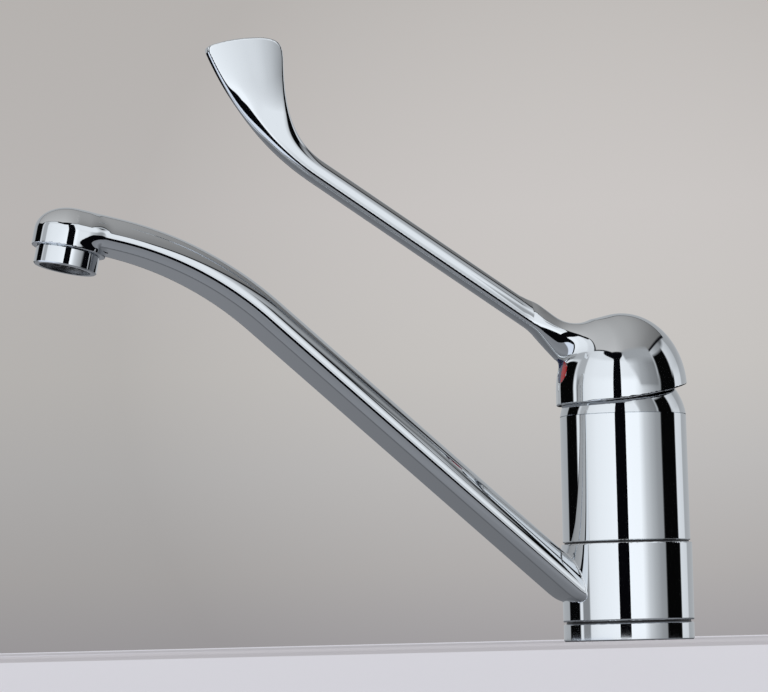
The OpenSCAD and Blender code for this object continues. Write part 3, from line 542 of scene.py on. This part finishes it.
    return field


points, faces, normals = surfaceOf(leverField(leverShape), leverShape["gridLow"], leverShape["gridHigh"],
                                   leverShape["gridStep"])
addMesh("leverSkin", points, faces, normals, chrome, "lever", ["lever"])
print("lever:", len(faces), "faces")


# Camera, and the level directions to its right and towards it

cameraView = {"azimuth": -20.5, "distance": 1500.0, "height": 1.5, "turn": -3.633,
              "pitch": 4.535, "roll": 1.4, "lens": 175.3}
viewAngle = math.radians(cameraView["azimuth"])
sideways = Vector((math.cos(viewAngle), math.sin(viewAngle), 0))
nearwards = Vector((math.sin(viewAngle), -math.cos(viewAngle), 0))
upwards = Vector((0, 0, 1))


def makeCamera(c):
    turn, pitch, roll = (math.radians(c[k]) for k in ("turn", "pitch", "roll"))
    ahead = sideways*math.sin(turn) - nearwards*math.cos(turn)
    right = sideways*math.cos(turn) + nearwards*math.sin(turn)
    look = ahead*math.cos(pitch) + upwards*math.sin(pitch)
    top = upwards*math.cos(pitch) - ahead*math.sin(pitch)
    right, top = right*math.cos(roll) - top*math.sin(roll), top*math.cos(roll) + right*math.sin(roll)
    camera = bpy.data.objects.new("camera", bpy.data.cameras.new("camera"))
    camera.data.lens = c["lens"]
    camera.data.clip_start, camera.data.clip_end = 0.05, 20
    camera.matrix_world = Matrix((right, top, -look)).transposed().to_4x4()
    camera.location = (nearwards*c["distance"] + upwards*c["height"])*0.001
    bpy.context.collection.objects.link(camera)
    bpy.context.scene.camera = camera


def addRamp(tree, source, stops, low, high):
    # A colour ramp over low to high; each stop has a place and a level or a hex colour
    share = addNode(tree, "ShaderNodeMapRange", {0: source}, in_1=low, in_2=high)
    ramp = addNode(tree, "ShaderNodeValToRGB", {0: share})
    elements = ramp.color_ramp.elements
    elements.remove(elements[1])
    for number, (place, level) in enumerate(stops):
        at = (place - low)/(high - low)
        element = elements.new(at) if number else elements[0]
        element.position = at
        element.color = linear(level) if isinstance(level, str) else (level, level, level, 1)
    return ramp


# Studio: grey backdrop, with softboxes and black flags painted on the sky: painted reflections that only
# the metal shows

black = (0.002, 0.002, 0.003, 1)
metalTint = (0.95, 0.99, 1.03)

sky = {
    # Backdrop from the table up: [sine of the elevation, colour]; painted shade dims it away from the
    # view's middle
    "backdrop": [(0.0, "#a9a6a8"), (0.019, "#b4b1b0"), (0.046, "#bebcbb"), (0.073, "#c7c4c1"),
                 (0.115, "#ccc8c6"), (0.17, "#c9c5c2")],
    "backdropTop": 0.17, "dimFrom": 0.991, "dimLevel": 0.8, "plainLight": (0.86, 0.86, 0.87, 1),
    # Painted reflections of softboxes and flags in three rings, from the horizon up: [degrees right of the
    # camera, brightness]
    "lowBands": [(-180, 0.50), (-127, 0.46), (-125, 0.002), (-95, 0.002), (-93, 0.95), (-88, 0.95),
                 (-86, 0.29), (-72, 0.29), (-70, 0.92), (-50, 1.05), (-15, 1.14), (5, 1.2),
                 (28, 1.18), (39, 0.74), (50, 0.54), (62, 0.38), (72, 0.33), (73.5, 0.002), (108, 0.002),
                 (109.5, 0.88), (130, 0.80), (133, 0.46), (180, 0.50)],
    "middleBands": [(-180, 0.46), (-127, 0.42), (-125, 0.002), (-95, 0.002), (-93, 0.85), (-86, 0.5),
                    (-72, 0.5), (-70, 0.92), (-50, 1.0), (-15, 1.05), (5, 1.05),
                    (30, 1.0), (60, 1.0), (70, 0.62), (72, 0.002), (103, 0.002), (106, 0.80), (130, 0.60),
                    (133, 0.40), (180, 0.46)],
    "highBands": [(-180, 0.02), (-125, 0.02), (-95, 0.02), (-88, 0.50), (-70, 0.80), (-50, 0.88),
                  (-15, 0.86), (5, 0.90), (40, 0.98), (60, 0.98), (70, 0.62),
                  (90, 0.40), (105, 0.32), (116, 0.16), (130, 0.22), (140, 0.24), (180, 0.26)],
    # Where each upper ring begins and is full, as the sine of the elevation
    "rings": {"middleBands": (0.18, 0.30), "highBands": (0.57, 0.62)},
    # Black flag high in front: the sines where it opens, and its middle and half width in degrees
    # at its foot and top
    "flareFoot": (0.58, 0.60), "flareRise": (0.59, 0.73), "flareMiddle": (-5.0, -13.0),
    "flareHalf": (8.0, 27.0), "flareSoft": 3.0,
    # Overhead panel, as slopes right of and towards the camera, and its brightness across and towards
    "panelRight": (-1.9, 0.95), "panelNear": (-1.25, 0.84), "cornerSlope": -0.85, "cornerReach": 1.12,
    "panelBands": [(-1.9, 0.64), (-0.1, 0.58), (0.2, 0.50), (0.45, 0.40), (0.7, 0.30), (0.95, 0.24)],
    "panelFade": (0.66, 1.06), "panelEdge": (1.02, 0.98), "gapEdge": (1.05, 1.08),
    "gapColour": (0.006, 0.006, 0.008, 1),
}


def makeSky(c, pitch):
    world = bpy.data.worlds.new("studioSky")
    bpy.context.scene.world = world
    world.use_nodes = True
    tree = world.node_tree
    tree.nodes.clear()
    way = addNode(tree, "ShaderNodeTexCoord").outputs["Generated"]
    rise = addNode(tree, "ShaderNodeSeparateXYZ", {0: way}).outputs[2]
    right, near = (addNode(tree, "ShaderNodeVectorMath", {0: way}, operation="DOT_PRODUCT",
                           in_1=side).outputs[1] for side in (sideways, nearwards))
    turn = addNode(tree, "ShaderNodeMath", {0: right, 1: near}, operation="ARCTAN2")
    turn = addNode(tree, "ShaderNodeMath", {0: turn}, operation="DEGREES")
    bands = addRamp(tree, turn, c["lowBands"], -180, 180)
    for ring, (low, high) in c["rings"].items():
        lift = addNode(tree, "ShaderNodeMapRange", {0: rise}, in_1=low, in_2=high)
        ramp = addRamp(tree, turn, c[ring], -180, 180)
        bands = addNode(tree, "ShaderNodeMix", {0: lift, 6: bands, 7: ramp}, data_type="RGBA").outputs[2]
    bands = addNode(tree, "ShaderNodeVectorMath", {0: bands}, operation="MULTIPLY", in_1=metalTint)
    # Above the flag in front hangs a wider one
    flare = addNode(tree, "ShaderNodeMapRange", {0: rise}, interpolation_type="SMOOTHERSTEP",
                    in_1=c["flareRise"][0], in_2=c["flareRise"][1])
    middle, half = (addNode(tree, "ShaderNodeMath", {0: flare}, operation="MULTIPLY_ADD",
                            in_1=top - foot, in_2=foot)
                    for foot, top in (c["flareMiddle"], c["flareHalf"]))
    off = addNode(tree, "ShaderNodeMath", {0: turn, 1: middle}, operation="SUBTRACT")
    off = addNode(tree, "ShaderNodeMath", {0: off}, operation="ABSOLUTE")
    off = addNode(tree, "ShaderNodeMath", {0: off, 1: half}, operation="SUBTRACT")
    below = addNode(tree, "ShaderNodeMapRange", {0: rise}, in_1=c["flareFoot"][0], in_2=c["flareFoot"][1],
                    in_3=60.0, in_4=0.0)
    off = addNode(tree, "ShaderNodeMath", {0: off, 1: below}, operation="ADD")
    clear = addNode(tree, "ShaderNodeMapRange", {0: off}, in_1=0.0, in_2=c["flareSoft"])
    bands = addNode(tree, "ShaderNodeMix", {0: clear, 7: bands}, data_type="RGBA", in_6=black).outputs[2]
    # The overhead panel: slopes are taken against the height, and a dark gap runs round it
    lifted = addNode(tree, "ShaderNodeMath", {0: rise}, operation="MAXIMUM", in_1=0.05)
    across, towards = (addNode(tree, "ShaderNodeMath", {0: part, 1: lifted}, operation="DIVIDE")
                       for part in (right, near))
    reach = []
    for slope, (low, high) in ((across, c["panelRight"]), (towards, c["panelNear"])):
        share = addNode(tree, "ShaderNodeMapRange", {0: slope}, clamp=False, in_1=low, in_2=high, in_3=-1.0)
        reach.append(addNode(tree, "ShaderNodeMath", {0: share}, operation="ABSOLUTE"))
    reach = addNode(tree, "ShaderNodeMath", {0: reach[0], 1: reach[1]}, operation="MAXIMUM")
    # Its corner on the camera's left is cut off
    corner = addNode(tree, "ShaderNodeMath", {0: across, 2: towards}, operation="MULTIPLY_ADD",
                     in_1=c["cornerSlope"])
    corner = addNode(tree, "ShaderNodeMath", {0: corner}, operation="SUBTRACT", in_1=c["cornerReach"] - 1)
    reach = addNode(tree, "ShaderNodeMath", {0: reach, 1: corner}, operation="MAXIMUM")
    panel = addRamp(tree, across, c["panelBands"], *c["panelRight"])
    fade = addNode(tree, "ShaderNodeMapRange", {0: towards}, in_1=c["panelNear"][0], in_2=c["panelNear"][1],
                   in_3=c["panelFade"][0], in_4=c["panelFade"][1])
    panel = addNode(tree, "ShaderNodeVectorMath", {0: panel, 1: fade}, operation="MULTIPLY")
    outside = addNode(tree, "ShaderNodeMapRange", {0: reach}, in_1=c["gapEdge"][0], in_2=c["gapEdge"][1])
    upper = addNode(tree, "ShaderNodeMix", {0: outside, 7: bands}, data_type="RGBA",
                    in_6=c["gapColour"]).outputs[2]
    inside = addNode(tree, "ShaderNodeMapRange", {0: reach}, in_1=c["panelEdge"][0], in_2=c["panelEdge"][1])
    upper = addNode(tree, "ShaderNodeMix", {0: inside, 6: upper, 7: panel}, data_type="RGBA").outputs[2]
    # Below the horizon the metal shows black: a painted dark reflection
    aboveTable = addNode(tree, "ShaderNodeMapRange", {0: rise}, in_1=-0.02, in_2=0.0)
    # Painted reflections: what only the metal shows
    studioReflection = addNode(tree, "ShaderNodeMix", {0: aboveTable, 7: upper}, data_type="RGBA",
                          in_6=black).outputs[2]
    # The backdrop, with painted shade a little darker away from the middle of the view
    middleOfView = upwards*math.sin(pitch) - nearwards*math.cos(pitch)
    facing = addNode(tree, "ShaderNodeVectorMath", {0: way}, operation="DOT_PRODUCT",
                     in_1=middleOfView).outputs[1]
    dim = addNode(tree, "ShaderNodeMapRange", {0: facing}, in_1=c["dimFrom"], in_2=1.0, in_3=c["dimLevel"])
    backdrop = addRamp(tree, rise, c["backdrop"], 0, c["backdropTop"])
    backdrop = addNode(tree, "ShaderNodeVectorMath", {0: backdrop, 1: dim}, operation="MULTIPLY")
    # Metal shows the painted reflections of the studio, glass and the camera see the backdrop, and the rest
    # gets plain light
    path = addNode(tree, "ShaderNodeLightPath").outputs
    seen = addNode(tree, "ShaderNodeMath", {0: path["Is Camera Ray"], 1: path["Is Transmission Ray"]},
                   operation="MAXIMUM")
    plain = addNode(tree, "ShaderNodeMix", {0: seen, 7: backdrop}, data_type="RGBA",
                    in_6=c["plainLight"]).outputs[2]
    picked = addNode(tree, "ShaderNodeMix", {0: path["Is Glossy Ray"], 6: plain, 7: studioReflection},
                     data_type="RGBA").outputs[2]
    light = addNode(tree, "ShaderNodeBackground", {0: picked})
    addNode(tree, "ShaderNodeOutputWorld", {0: light})


def addCard(name, corners, paint):
    # A card that is seen in metal only, as a painted reflection
    mesh = bpy.data.meshes.new(name)
    mesh.from_pydata(corners, [], [list(range(len(corners)))])
    card = bpy.data.objects.new(name, mesh)
    bpy.context.collection.objects.link(card)
    for kind in ("camera", "diffuse", "transmission", "volume_scatter", "shadow"):
        setattr(card, "visible_" + kind, False)
    material = bpy.data.materials.new(paint)
    material.use_nodes = True
    material.node_tree.nodes.clear()
    mesh.materials.append(material)
    return card, material.node_tree


# A black flag between the tap and the camera, a painted dark reflection that only the metal shows, in
# metres
frontFlag = {"right": (-0.196, 0.056), "high": (0.001, 0.72), "near": 0.744}


def makeFlag(c):
    (left, right), (low, high) = c["right"], c["high"]
    corners = [sideways*x + nearwards*c["near"] + Vector((0, 0, z))
               for x, z in ((left, low), (right, low), (right, high), (left, high))]
    _, tree = addCard("frontFlag", corners, "paintedBlackReflection")
    # Painted dark reflection: a black glow seen only in the metal
    blackReflection = addNode(tree, "ShaderNodeEmission", in_0=black)
    addNode(tree, "ShaderNodeOutputMaterial", {0: blackReflection})


# A grey card that only the cap is near enough to show, a painted reflection that grows darker to the right,
# in degrees and metres
capCard = {
    "turn": 35.0, "away": 0.070, "side": 0.036, "low": 0.102, "high": 0.186,
    # Its painted reflection levels from left to right, and the one that they go over to with height
    "bands": [(-0.022, 1.0), (-0.013, 0.61), (-0.007, 0.46), (0.002, 0.38), (0.010, 0.31), (0.019, 0.27),
              (0.025, 0.24)],
    "topColour": (0.42, 0.42, 0.42, 1), "topFrom": (0.138, 0.152),
    # Its left edge leans about this height; the other edges fade: [0 across or 1 up, clear, full]
    "lean": 0.35, "leanHeight": 0.125, "leftEdge": (-0.019, -0.013),
    "edges": [(0, 0.032, 0.026), (1, 0.186, 0.170), (1, 0.102, 0.106)],
}


def makeCapCard(c):
    turn = math.radians(c["turn"])
    out = sideways*math.sin(turn) + nearwards*math.cos(turn)
    along = sideways*math.cos(turn) - nearwards*math.sin(turn)
    wide, low, high = c["side"], c["low"], c["high"]
    corners = [(-wide, low, 0), (wide, low, 0), (wide, high, 0), (-wide, high, 0)]
    card, tree = addCard("capCard", corners, "paintedCapReflection")
    card.matrix_world = Matrix((along, upwards, out)).transposed().to_4x4()
    card.location = out*c["away"]
    where = addNode(tree, "ShaderNodeTexCoord")
    place = addNode(tree, "ShaderNodeSeparateXYZ", {0: where.outputs["Object"]}).outputs
    lifted = addNode(tree, "ShaderNodeMapRange", {0: place[1]}, in_1=c["topFrom"][0], in_2=c["topFrom"][1])
    level = addRamp(tree, place[0], c["bands"], -0.03, 0.03)
    level = addNode(tree, "ShaderNodeMix", {0: lifted, 6: level}, data_type="RGBA",
                    in_7=c["topColour"]).outputs[2]
    level = addNode(tree, "ShaderNodeVectorMath", {0: level}, operation="MULTIPLY", in_1=metalTint)
    leaning = addNode(tree, "ShaderNodeMath", {0: place[1], 2: place[0]}, operation="MULTIPLY_ADD",
                      in_1=c["lean"])
    clear, full = (c["lean"]*c["leanHeight"] + edge for edge in c["leftEdge"])
    cover = addNode(tree, "ShaderNodeMapRange", {0: leaning}, interpolation_type="SMOOTHSTEP",
                    in_1=clear, in_2=full)
    for axis, clear, full in c["edges"]:
        fade = addNode(tree, "ShaderNodeMapRange", {0: place[axis]}, in_1=clear, in_2=full)
        cover = addNode(tree, "ShaderNodeMath", {0: cover, 1: fade}, operation="MULTIPLY")
    # Painted reflection: the card's glow shows only in the metal
    glow = addNode(tree, "ShaderNodeEmission", {0: level})
    gap = addNode(tree, "ShaderNodeBsdfTransparent")
    mixed = addNode(tree, "ShaderNodeMixShader", {0: cover, 1: gap, 2: glow})
    addNode(tree, "ShaderNodeOutputMaterial", {0: mixed})


# A painted table, paler past its front edge, and a card that paints its reflection in the metal, with
# painted shadow under the tap
table = {
    "half": 3, "colour": "#c4c1c6", "frontColour": "#e4e3ea", "frontFrom": 0.985, "frontSoft": 0.02,
    "roughness": 0.6,
    # The part of the table that the metal shows, in metres
    "card": [(0.2, -0.16), (0.2, 1.2), (-1.2, 1.2), (-1.2, -0.80), (-0.45, -0.38), (-0.1, -0.16)],
    # What the undersides show, a painted reflection from the near side of the table to the far side,
    # darkest in a strip under the tap as painted shadow
    "bands": [(-0.4, 0.24), (-0.1, 0.26), (-0.05, 0.29), (-0.015, 0.20), (0.0, 0.12), (0.015, 0.14),
              (0.06, 0.18), (0.5, 0.24)],
    "tint": (0.94, 0.98, 1.06), "leftColour": (0.86, 0.90, 0.95, 1), "leftSlope": 0.45,
    "leftFrom": (-0.30, -0.34),
}


def makeTable(c):
    half = c["half"]
    mesh = bpy.data.meshes.new("table")
    corners = [(-half, -half, 0), (half, -half, 0), (half, half, 0), (-half, half, 0)]
    mesh.from_pydata(corners, [], [(0, 1, 2, 3)])
    top = bpy.data.objects.new("table", mesh)
    bpy.context.collection.objects.link(top)
    top.visible_glossy = False
    material, tree, shader = newMaterial("paintedTable")
    where = addNode(tree, "ShaderNodeTexCoord").outputs["Object"]
    far = addNode(tree, "ShaderNodeVectorMath", {0: where}, operation="LENGTH").outputs[1]
    stops = [(0, c["colour"]), (c["frontFrom"], c["colour"]),
             (c["frontFrom"] + c["frontSoft"], c["frontColour"])]
    tree.links.new(addRamp(tree, far, stops, 0, 1.4).outputs[0], shader.inputs["Base Color"])
    shader.inputs["Roughness"].default_value = c["roughness"]
    mesh.materials.append(material)
    card, tree = addCard("underCard", [(*corner, 0) for corner in c["card"]], "paintedTableReflectionAndShadow")
    card.location.z = 0.0002
    where = addNode(tree, "ShaderNodeTexCoord")
    place = addNode(tree, "ShaderNodeSeparateXYZ", {0: where.outputs["Object"]}).outputs
    leaning = addNode(tree, "ShaderNodeMath", {0: place[1], 2: place[0]}, operation="MULTIPLY_ADD",
                      in_1=c["leftSlope"])
    left = addNode(tree, "ShaderNodeMapRange", {0: leaning}, in_1=c["leftFrom"][0], in_2=c["leftFrom"][1])
    # Painted reflection and painted shadow: darker in a strip under the tap, lighter on the left past a
    # leaning line
    shade = addRamp(tree, place[1], c["bands"], -0.4, 0.5)
    shade = addNode(tree, "ShaderNodeMix", {0: left, 6: shade}, data_type="RGBA",
                    in_7=c["leftColour"]).outputs[2]
    shade = addNode(tree, "ShaderNodeVectorMath", {0: shade}, operation="MULTIPLY", in_1=c["tint"])
    glow = addNode(tree, "ShaderNodeEmission", {0: shade})
    addNode(tree, "ShaderNodeOutputMaterial", {0: glow})


# A soft lamp overhead for the table's shadow, in metres and watts
lamp = {"size": (1.6, 1.2), "watts": 5, "place": (-0.3, -0.3, 1.6)}


def makeLamp(c):
    light = bpy.data.lights.new("overhead", "AREA")
    light.shape, light.energy = "RECTANGLE", c["watts"]
    light.size, light.size_y = c["size"]
    overhead = bpy.data.objects.new("overhead", light)
    overhead.location = c["place"]
    overhead.visible_glossy = False
    bpy.context.collection.objects.link(overhead)


makeSky(sky, math.radians(cameraView["pitch"]))
makeFlag(frontFlag)
makeCapCard(capCard)
makeTable(table)
makeCamera(cameraView)
makeLamp(lamp)
bpy.context.scene.view_settings.view_transform = "Standard"
print("studio ready")
